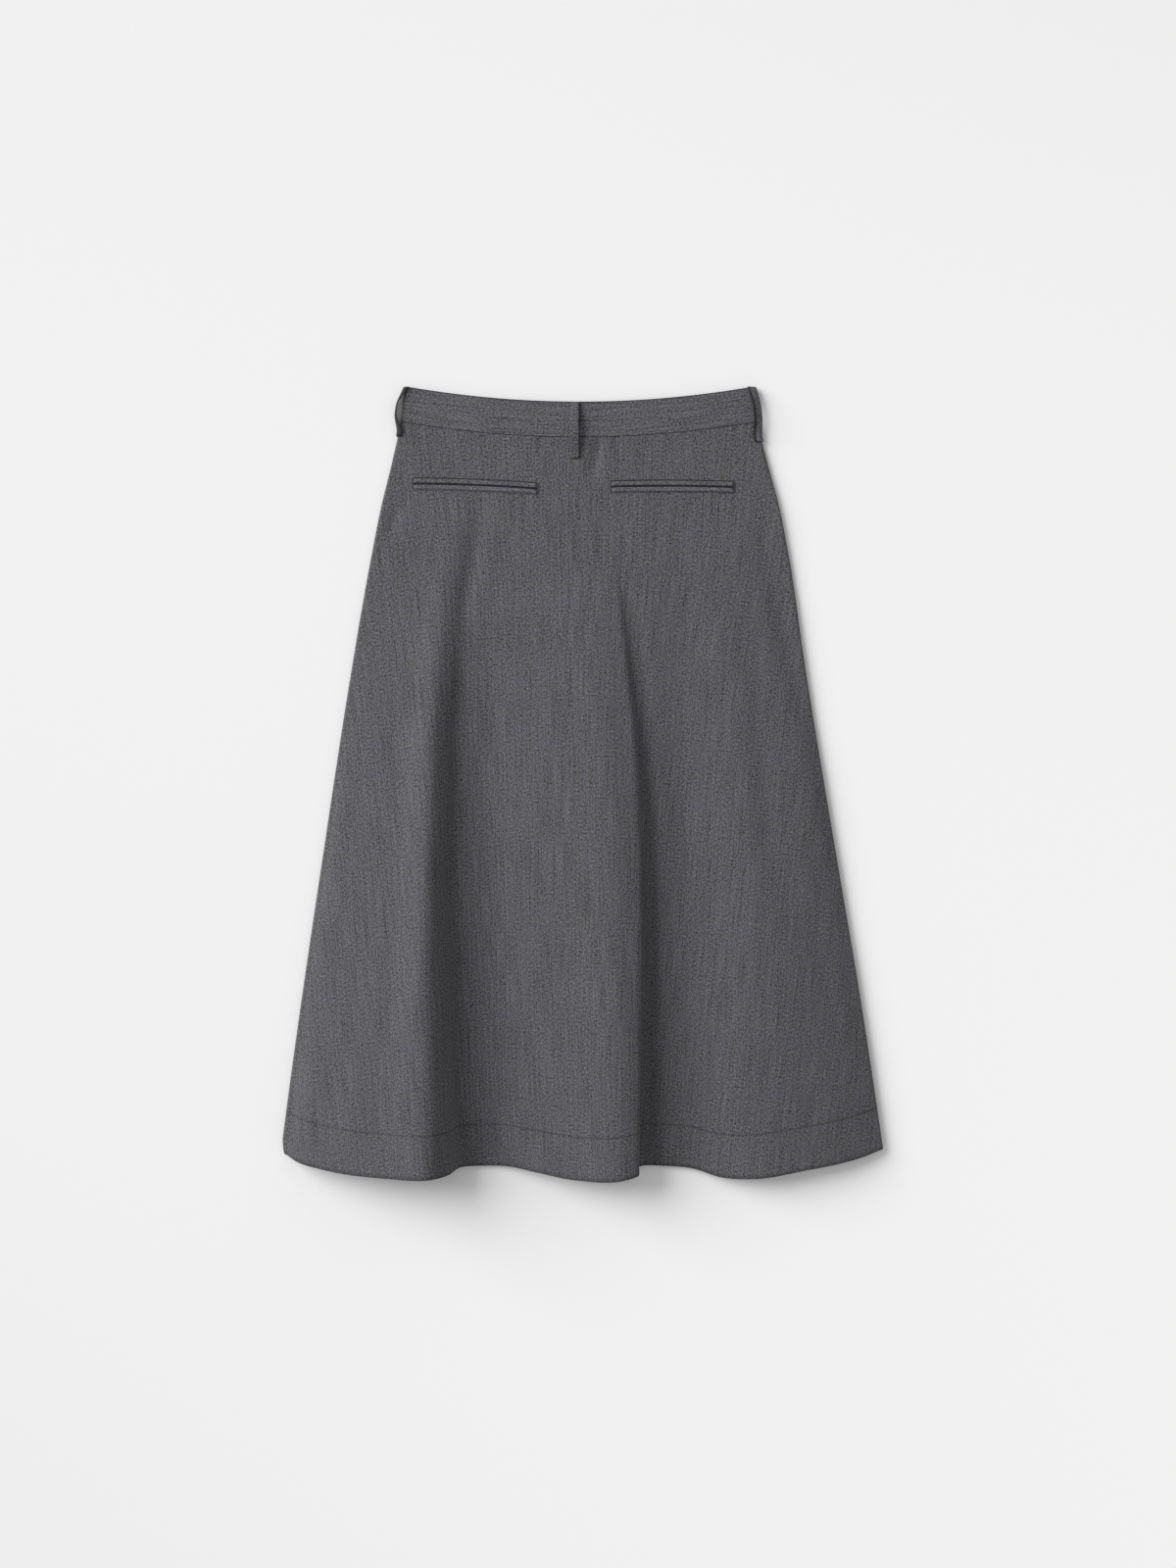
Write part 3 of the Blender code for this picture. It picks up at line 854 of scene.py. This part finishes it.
def make_back():
    below = BACK_ROWS
    net = back_net(below)
    shares = shares_across(net)
    x, y, z = np.moveaxis(net, -1, 0)
    upper = smooth_step(*UPPER_SIDE, z / side_radius(below)[:, None])
    depth = sum(crease_depth(x, y, crease) for crease in CREASES) + eased_in(shares, below)
    depth = depth + slack(x, y) * smooth_step(0.0, SLACK_START, below)[:, None]
    seams = STITCH_DENT * stitch_dent_and_painted_shade(below) - SEAM_RISE * bell(below, SEAM_RISE_REACH)
    net = net - outward(net) * ((depth + seams[:, None]) * upper)[..., None]
    cut = flat_cut(shares, below, -CUT_HALF_ANGLE, CUT_HALF_ANGLE, 0.0)
    # Painted shade along the stitch groove, at the waist seam and along the hem's edge, where the groove,
    # the seam and the turned edge would be in shade.
    painted_shade = painted_dark("panel stitch", below - STITCH_BELOW) + painted_dark("panel seam", below)
    painted_shade = painted_shade + painted_dark("panel hem", PANEL_SIDE_LENGTH - below)
    piece = shell("back_cloth", net, panel_wall(below)[:, None], cut, "suiting",
                  panel_edges(below)[:, None], painted_shade[:, None])
    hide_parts("back")
    return piece, net


back_cloth, back_surface = make_back()
back_faces = net_faces(numbers(back_surface)).tolist()
back_tree = BVHTree.FromPolygons(back_surface.reshape(-1, 3).tolist(), back_faces)
print("the back has", len(back_cloth.data.polygons), "faces")

# %% [markdown]
# ## The front panels
#
# The two fronts lie underneath, flat on the floor but for the places where they follow the folds
# above. They meet at the centre-front seam. Their outer face is the lower one.

# %% Make the fronts
FRONT_COLUMNS = 60
FRONT_BOLT = 1.2


def front_height(x, down):
    """How high the front's outer face is lifted off the floor by its folds."""
    grown = smooth_step(FRONT_FOLD_START, 1.0, down) * down
    total = np.zeros_like(x)
    for fold in FRONT_FOLDS:
        middle = fold["middle"] * (FRONT_FOLD_AT_WAIST + (1 - FRONT_FOLD_AT_WAIST) * down)
        off = np.minimum(1.0, np.abs(x / MM - middle) / (fold["width"] / 2))
        total += fold["height"] * MM * grown * (1 + np.cos(np.pi * off)) / 2
    return total


def make_front(side):
    inward = INWARD[side]
    below = BACK_ROWS
    seam = side_edge(side, below) + inward * (side_radius(below) + UNDERLAP + SEAM_GAP)
    centre = -inward * SEAM_GAP / 2
    shares = np.linspace(0, 1, FRONT_COLUMNS + 1)
    x = seam[:, None] + (centre - seam[:, None]) * shares
    down = below[:, None] / PANEL_SIDE_LENGTH
    y = rows_y(x, below, "front") - SEAM_GAP * (1 - down)
    # Seen from below, the left front runs from the centre on its left to its side on its right.
    net = np.stack([x, y, front_height(x, down)], axis=-1)[:, ::-inward]
    angles = (0.0, CUT_HALF_ANGLE) if side == "left" else (-CUT_HALF_ANGLE, 0.0)
    cut = flat_cut(shares_across(net), below, *angles, -FRONT_BOLT * inward)
    # The fronts' stitch line gets painted shade, as on the back.
    piece = shell(f"front_{side}_cloth", net, panel_wall(below)[:, None], cut, "suiting",
                  panel_edges(below)[:, None], stitch_dent_and_painted_shade(below)[:, None])
    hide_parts(f"front_{side}")
    return piece


fronts = [make_front(side) for side in ("left", "right")]
print("fronts:", [piece.name for piece in fronts])

# %% [markdown]
# ## The waistband
#
# The band is one straight strip with its warp running round the waist, folded at the top and sewn
# to the panels at the bottom. It is open at the centre front. Both long edges are rounded. The dark
# line between band and panel is the shade in the seam, partly cast by the seam and partly painted
# shade, and the folded top has a thin line of painted shade too.

# %% Make the waistband
BAND_COLUMNS = 170
BAND_SIDE_STEPS = 12
BAND_MIDDLE_ROWS = 14
BAND_MIDDLE_FROM = 2.2 * MM
BAND_RIPPLE = 0.12 * MM
BAND_KNOTS = 48
BAND_SEAM_ROUND = 0.4 * MM
BAND_BOLT = 3.0
# The ripple comes in between these heights, counted in the band's radius.
BAND_UPPER = (1.2, 2.0)


def band_rows():
    middle = np.linspace(BAND_MIDDLE_FROM, BAND_HEIGHT - BAND_MIDDLE_FROM, BAND_MIDDLE_ROWS)
    return np.concatenate([EDGE_STEPS, middle, BAND_HEIGHT - EDGE_STEPS[::-1]]) - BAND_HEIGHT


def band_net(below):
    radius = np.full(len(below), BAND_RADIUS)
    left = turned_side("left", below, radius, BAND_SIDE_STEPS)
    right = turned_side("right", below, radius, BAND_SIDE_STEPS)[:, ::-1]
    shares = (np.arange(1, BAND_COLUMNS) / BAND_COLUMNS)[:, None]
    top = left[:, -1:] + (right[:, :1] - left[:, -1:]) * shares
    half = BAND_COLUMNS // 2
    steps = (np.arange(half) / half)[:, None]
    gap = np.array([SEAM_GAP / 2, 0.0])
    under_left = -gap + (left[:, :1] + gap) * steps
    under_right = gap + (right[:, -1:] - gap) * steps
    ring = np.concatenate([under_left, left, top, right, under_right[:, ::-1]], axis=1)
    x, z = ring[..., 0], ring[..., 1]
    return np.stack([x, round_y(x, z, below, BAND_RADIUS), z], axis=-1)


def make_band():
    below = band_rows()
    net = band_net(below)
    shares = shares_across(net)
    ripple = uneven_wave(shares, BAND_KNOTS) * smooth_step(*BAND_UPPER, net[..., 2] / BAND_RADIUS)
    net = net - outward(net) * (BAND_RIPPLE * ripple)[..., None]
    long = np.linalg.norm(np.diff(net[len(net) // 2], axis=0), axis=1).sum()
    cut = np.stack([np.broadcast_to(below[:, None], shares.shape) + BAND_BOLT, shares * long], axis=-1) / MM
    from_top, from_seam = below + BAND_HEIGHT, -below
    rounded = roundness(from_top, BAND_WALL / 2) * roundness(from_seam, BAND_SEAM_ROUND)
    # Painted shade: a thin dark line along the folded top and at the seam, where the turned edge and the
    # seam would be in shade.
    painted_shade = painted_dark("band top", from_top) + painted_dark("band seam", from_seam)
    piece = shell("waistband_cloth", net, BAND_WALL, cut, "suiting_across",
                  rounded[:, None], painted_shade[:, None])
    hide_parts("waistband")
    return piece, long


band_cloth, band_length = make_band()
print(f"the band is {band_length:.3f} m round")

# %% [markdown]
# ## The pocket welts
#
# A double-welt pocket is a slit with a folded strip, the welt, along each side. Between the two
# strips lies the mouth, and their outer edges are sewn to the back. Each welt follows the surface of
# the back under it, so it is laid on by casting rays downwards. The table's last columns say how much
# painted shade the upper and the lower welt's seams get, on the welt and in the ditch beside it.

# %% Make the welts
POCKETS = table(
    "name start end bow upper lower",
    ("left", (-172.0, 300.2), (-45.5, 295.2), 1.2, 1.6, 0.4),
    ("right", (29.5, 297.2), (154.5, 296.8), 1.0, 1.7, 0.8),
)
WELT_WIDTH = 4.6 * MM
WELT_RISE = 1.1 * MM
WELT_SINK = 0.6 * MM
WELT_WALL = 0.5 * MM
WELT_MOUTH_ROUND = 1.0 * MM
WELT_SEAM_ROUND = 0.8 * MM
# How much painted highlight lies on a welt's crown, on the painted shade's scale.
WELT_PAINTED_HIGHLIGHT = 0.35
WELT_BOLT = 9.0
WELT_BOLT_ALONG = 0.5
WELT_COLUMNS = 90
WELT_STEPS = 9
MOUTH_GAP = 1.6 * MM


def mouth_line(pocket, shares):
    """Points (x, y) along a pocket's mouth."""
    (x0, y0), (x1, y1) = pocket["start"], pocket["end"]
    bow = pocket["bow"] * 4 * shares * (1 - shares)
    return (x0 + (x1 - x0) * shares) * MM, (y0 + (y1 - y0) * shares + bow) * MM


def on_back(x, y):
    """The points and normals of the back straight below these places."""
    places = zip(x.ravel(), y.ravel())
    hits = [back_tree.ray_cast(Vector((*place, 1.0)), Vector((0, 0, -1)))[:2] for place in places]
    return tuple(np.array([hit[k] for hit in hits]).reshape(*x.shape, 3) for k in (0, 1))


def strip_on_back(pocket, offsets):
    """A net along a pocket's mouth: how far aside and along each point is, and the back there."""
    shares = np.linspace(0, 1, WELT_COLUMNS + 1)
    x, y = mouth_line(pocket, shares)
    aside, along = np.meshgrid(offsets, shares * (x[-1] - x[0]), indexing="ij")
    points, normals = on_back(np.broadcast_to(x, aside.shape), y + aside)
    return aside, along, points, normals


def make_welt(pocket, part):
    upward = 1 if part == "upper" else -1
    side = (1 - np.cos(np.pi * np.arange(WELT_STEPS + 1) / WELT_STEPS)) / 2
    offsets = upward * (MOUTH_GAP / 2 + WELT_WIDTH * side)
    aside, along, points, normals = strip_on_back(pocket, offsets[::-upward])
    from_mouth = np.abs(aside) - MOUTH_GAP / 2
    from_seam = WELT_WIDTH - from_mouth
    from_end = np.minimum(along, along[:, ::-1])
    crown = roundness(from_mouth, WELT_MOUTH_ROUND) * roundness(from_seam, WELT_SEAM_ROUND)
    crown = crown * roundness(from_end, WELT_SEAM_ROUND)
    height = (WELT_RISE + WELT_SINK) * crown - WELT_SINK
    net = points + normals.mean(axis=(0, 1)) * height[..., None]
    cut = np.stack([aside + WELT_BOLT + upward, along + WELT_BOLT_ALONG], axis=-1) / MM
    # Painted shade along the welt's seam and its mouth edge, and a painted highlight on its crown.
    painted_shade = painted_dark("welt seam", from_seam) * pocket[part] + painted_dark("welt mouth", from_mouth)
    name = f"welt_{part}_{pocket['name']}"
    piece = shell(f"{name}_cloth", net, WELT_WALL, cut, "suiting_across", 1.0, painted_shade - WELT_PAINTED_HIGHLIGHT * crown)
    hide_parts(name)
    return piece


welts = [make_welt(pocket, part) for pocket in POCKETS for part in ("upper", "lower")]
print("welts:", len(welts))

# %% [markdown]
# ## The painted shade strips of the pockets
#
# It is dark inside the mouth, and a real welt's seam lies in a ditch. The welts here are too low to
# cast such shade, so a narrow strip of cloth with painted shade lies in the mouth and one along each
# seam, with its edges tucked under the welt.

# %% Lay the painted shade strips
LINE_ROWS = 4
LINE_WALL = 0.3 * MM
LINE_LIFT = 0.25 * MM
DITCH = 1.0 * MM
TUCK = 0.2 * MM
# How dark the painted shade in the mouth is. The ditches take theirs from the pocket's table.
MOUTH_PAINTED_SHADE = 1.9


def painted_shade_strip(pocket, name, middle, width, shade):
    """A strip of cloth with painted shade, whose middle lies this far above the mouth's own."""
    offsets = middle + np.linspace(1, -1, LINE_ROWS) * (width / 2 + TUCK)
    aside, along, points, normals = strip_on_back(pocket, offsets)
    cut = np.stack([aside + WELT_BOLT, along], axis=-1) / MM
    net = points + normals * LINE_LIFT
    return shell(f"pocket_{name}_{pocket['name']}", net, LINE_WALL, cut, "suiting", 1.0, shade)


def painted_shade_strips(pocket):
    ditch = MOUTH_GAP / 2 + WELT_WIDTH + DITCH / 2
    # All three strips are painted shade: one inside the mouth and one in each ditch.
    return [
        painted_shade_strip(pocket, "inside", 0.0, MOUTH_GAP, MOUTH_PAINTED_SHADE),
        painted_shade_strip(pocket, "upper_ditch_painted_shade", ditch, DITCH, pocket["upper"]),
        painted_shade_strip(pocket, "lower_ditch_painted_shade", -ditch, DITCH, pocket["lower"]),
    ]


lines = [line for pocket in POCKETS for line in painted_shade_strips(pocket)]
print("dark lines:", len(lines))

# %% [markdown]
# ## The belt loops
#
# A loop is a strip of cloth folded to four layers, ten millimetres wide. It is caught at both ends,
# and its middle stands off the band to let a belt through. The two side loops wrap round the turned
# side and stick out past it. The table says how far round from its side edge each one lies, whether
# it follows that edge down, its lean in degrees and how far it stands off. The last columns are
# painted shade on the whole loop and along its left and right edges, and how far in the edges' shade
# reaches. Where the whole loop's value is below zero, it is a painted highlight on its lit face.

# %% Make the loops
LOOP_WIDTH = 10.0 * MM
LOOP_THICKNESS = 1.6 * MM
LOOP_ROWS = 60
LOOP_COLUMNS = 16
LOOP_BELOW_TOP = 0.9 * MM
LOOP_BOLT = 7
# Where a loop leaves the band and comes back, as shares of its length.
LOOP_RISES = (-0.06, 0.40)
LOOP_FALLS = (0.52, 0.95)
# The shade columns are painted shade. The right loop's value below zero is a painted highlight.
LOOPS = table(
    "name side round along lean gap length shade left_shade right_shade reach",
    ("left", "left", 2.7, True, 10, 5.2, 50, 1.45, 0.3, 0.3, 1.3),
    ("back", "left", 181.2, False, 90, 4.2, 57, 0.0, 0.3, 2.0, 1.5),
    ("right", "right", 6.0, True, 62, 3.4, 56, -0.4, 2.5, 0.4, 2.6),
)


def round_the_side(side, below, distance, radius):
    """A point (x, z) at a distance round the cloth from its side edge, just off it."""
    reach, middle = radius + SEAM_GAP, radius + SEAM_GAP + LOOP_THICKNESS / 2
    angle = min(distance / middle, math.pi / 2)
    from_edge = radius - reach * math.cos(angle) + max(0.0, distance - middle * math.pi / 2)
    return side_edge(side, below)[0] + INWARD[side] * from_edge, radius + reach * math.sin(angle)


def loop_row(loop, share):
    """Points across a loop's lower face, a share of the way down it."""
    side, inward = loop["side"], INWARD[loop["side"]]
    gap, lean = loop["gap"] * MM, math.radians(loop["lean"])
    below = LOOP_BELOW_TOP - BAND_HEIGHT + loop["length"] * MM * share
    fallen = smooth_step(*LOOP_FALLS, share)
    free = smooth_step(*LOOP_RISES, share) - fallen
    radius = BAND_RADIUS + (side_radius(0.0)[0] - BAND_RADIUS) * fallen
    edge = side_edge(side, below)[0]
    drift = 0.0 if loop["along"] else inward * (side_edge(side, 0.0)[0] - edge)
    distance = loop["round"] * MM + drift
    if loop["lean"] < 90:
        reach = radius + SEAM_GAP + gap
        upright = LOOP_WIDTH / 2 * math.cos(lean) + SEAM_GAP
        height = max(radius + reach * math.sin(lean), upright)
        x0, z0 = edge + inward * (radius - reach * math.cos(lean)), height
    else:
        x0, z0 = round_the_side(side, below, distance, radius)
        z0 += gap
    y = arc_y(x0, below, "back")[0]
    row = []
    for c in range(LOOP_COLUMNS + 1):
        off = LOOP_WIDTH * (c / LOOP_COLUMNS - 0.5)
        sewn = round_the_side(side, below, distance + off, radius)
        loose = (x0 + inward * off * math.sin(lean), z0 + off * math.cos(lean))
        x, z = (sewn[k] * (1 - free) + loose[k] * free for k in range(2))
        row.append((x, y, z))
    return row[::inward]


def make_loop(loop):
    shares = np.linspace(0, 1, LOOP_ROWS + 1)
    lower = np.array([loop_row(loop, share) for share in shares])
    net = lower + outward(lower) * LOOP_THICKNESS
    columns = np.linspace(0, LOOP_WIDTH, LOOP_COLUMNS + 1)
    from_left, along = np.meshgrid(columns, shares * loop["length"] * MM)
    from_right, from_end = from_left[:, ::-1], np.minimum(along, along[::-1])
    half, reach = LOOP_THICKNESS / 2, loop["reach"] * MM
    rounded = roundness(from_end, half) * roundness(np.minimum(from_left, from_right), half)
    # Painted shade on the loop: along its edges, where the gap under it and its sides would be in shade,
    # over the whole loop, and at its sewn ends.
    painted_shade = loop["left_shade"] * bell(from_left, reach) + loop["right_shade"] * bell(from_right, reach)
    painted_shade = loop["shade"] + painted_shade + painted_dark("loop end", from_end)
    cut = np.stack([from_left, along], axis=-1) / MM + loop["round"] * LOOP_BOLT
    name = f"loop_{loop['name']}"
    piece = shell(f"{name}_cloth", net, LOOP_THICKNESS, cut, "suiting", rounded, painted_shade)
    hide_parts(name)
    return piece


loops = {loop["name"]: make_loop(loop) for loop in LOOPS}
print("loops:", sorted(loops))

# %% [markdown]
# ## Stitches
#
# What shows of a stitch is a short thread that lies in the cloth. Here it is a small capsule, and a
# line of them is one mesh, because hundreds of objects would slow Blender down.

# %% The stitch maker
THREAD_SIDES = 6
# Places along a thread, as shares of its length, and how much of its radius it has there.
THREAD_RINGS = ((-0.5, 0.15), (-0.36, 0.85), (0.0, 1.0), (0.36, 0.85), (0.5, 0.15))


def capsule(centre, along, normal, length, radius):
    """Points and faces of a thread lying on the cloth."""
    aside = np.cross(normal, along)
    turn = 2 * np.pi * np.arange(THREAD_SIDES) / THREAD_SIDES
    points = [
        centre + along * length * place + (aside * math.cos(a) + normal * math.sin(a)) * radius * size
        for place, size in THREAD_RINGS
        for a in turn
    ]
    rings = np.arange(len(points)).reshape(-1, THREAD_SIDES)
    ahead = np.roll(rings, -1, axis=1)
    around = np.stack([rings[:-1], ahead[:-1], ahead[1:], rings[1:]], axis=-1).reshape(-1, 4)
    return points, [*around.tolist(), rings[0][::-1].tolist(), rings[-1].tolist()]


def sew(name, threads):
    """One mesh of many threads, each a (centre, along, normal, length, radius)."""
    points, faces = [], []
    for thread in threads:
        start = len(points)
        more_points, more_faces = capsule(*thread)
        points += more_points
        faces += [tuple(start + k for k in face) for face in more_faces]
    piece = new_piece(name, points, faces, THREAD)
    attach(piece, "root")
    return piece


print("a thread has", THREAD_SIDES, "sides")

# %% [markdown]
# ## Where the stitches are
#
# The hem's blind stitch catches the face of the cloth every few millimetres, in the groove that the
# net already has. Bar tacks, short dense rows of threads, hold the ends of the pockets.

# %% Sew the hem and the tacks
HEM_PITCH = 4.2 * MM
HEM_STITCH = 2.4 * MM
THREAD_RADIUS = 0.16 * MM
THREAD_SINK = 0.02 * MM
TACK_PITCH = 0.42 * MM
TACK_WIDTH = 1.8 * MM
TACK_LIFT = 0.3 * MM
TACK_RADIUS = 1.2 * THREAD_RADIUS
TACK_OUT = 0.4


def sew_hem():
    """Threads along the row of the back's net that lies in the groove."""
    row = np.argmin(np.abs(BACK_ROWS - STITCH_BELOW))
    shown = slice(SIDE_STEPS // 2, -SIDE_STEPS // 2)
    line, normals = (net[row][shown] for net in (back_surface, outward(back_surface)))
    run = run_along(line)

    def read(values, at):
        return np.array([np.interp(at, run, values[:, k]) for k in range(3)])

    threads = []
    for at in np.arange(HEM_PITCH / 2, run[-1], HEM_PITCH):
        centre, ahead, normal = read(line, at), read(line, at + HEM_STITCH / 2), read(normals, at)
        along, normal = (way / np.linalg.norm(way) for way in (ahead - centre, normal))
        threads.append((centre - normal * THREAD_SINK, along, normal, HEM_STITCH, THREAD_RADIUS))
    return sew("hem_stitches", threads)


def tack(start, end):
    """Threads side by side on the back, each across the line from start to end."""
    start, end = np.array(start) * MM, np.array(end) * MM
    count = max(2, int(np.linalg.norm(end - start) / TACK_PITCH))
    across = np.array([end[1] - start[1], start[0] - end[0], 0.0])
    threads = []
    for point, normal in zip(*on_back(*np.linspace(start, end, count).T)):
        level = across - normal * (across @ normal)
        level /= np.linalg.norm(level)
        threads.append((point + normal * TACK_LIFT, level, normal, TACK_WIDTH, TACK_RADIUS))
    return threads


def sew_pockets():
    threads = []
    reach = (MOUTH_GAP / 2 + WELT_WIDTH) / MM
    for pocket in POCKETS:
        for (x, y), out in ((pocket["start"], -TACK_OUT), (pocket["end"], TACK_OUT)):
            threads += tack((x + out, y + reach), (x + out, y - reach))
    return sew("pocket_tacks", threads)


hem_stitches = sew_hem()
pocket_tacks = sew_pockets()
print("threads in the hem:", len(hem_stitches.data.polygons) // (4 * THREAD_SIDES + 2))

# %% [markdown]
# ## The loops' lengths
#
# Each loop's length is worked out in metres and not used further. Cloth bends but hardly stretches,
# and the panels' cut is a piece of a ring.

for loop in LOOPS:
    loop["length"] * MM

# %% [markdown]
# ## The closure inside
#
# The zip and the waist hook lie hidden between the layers at the centre front. The frame's own
# solids have their shape, so they stay and only get a finish.

# %% Finish what stays
for name, finish in (("zip", ZIP_TAPE), ("waist_hook", STEEL), ("waist_bar", STEEL)):
    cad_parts[name].data.materials.clear()
    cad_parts[name].data.materials.append(finish)
print("finished: zip, waist_hook, waist_bar")

# %% [markdown]
# ## The end
#
# The scene is brought up to date. The cloth may stand a few millimetres proud of the frame, and
# no more.

# %% Update the scene
bpy.context.view_layer.update()
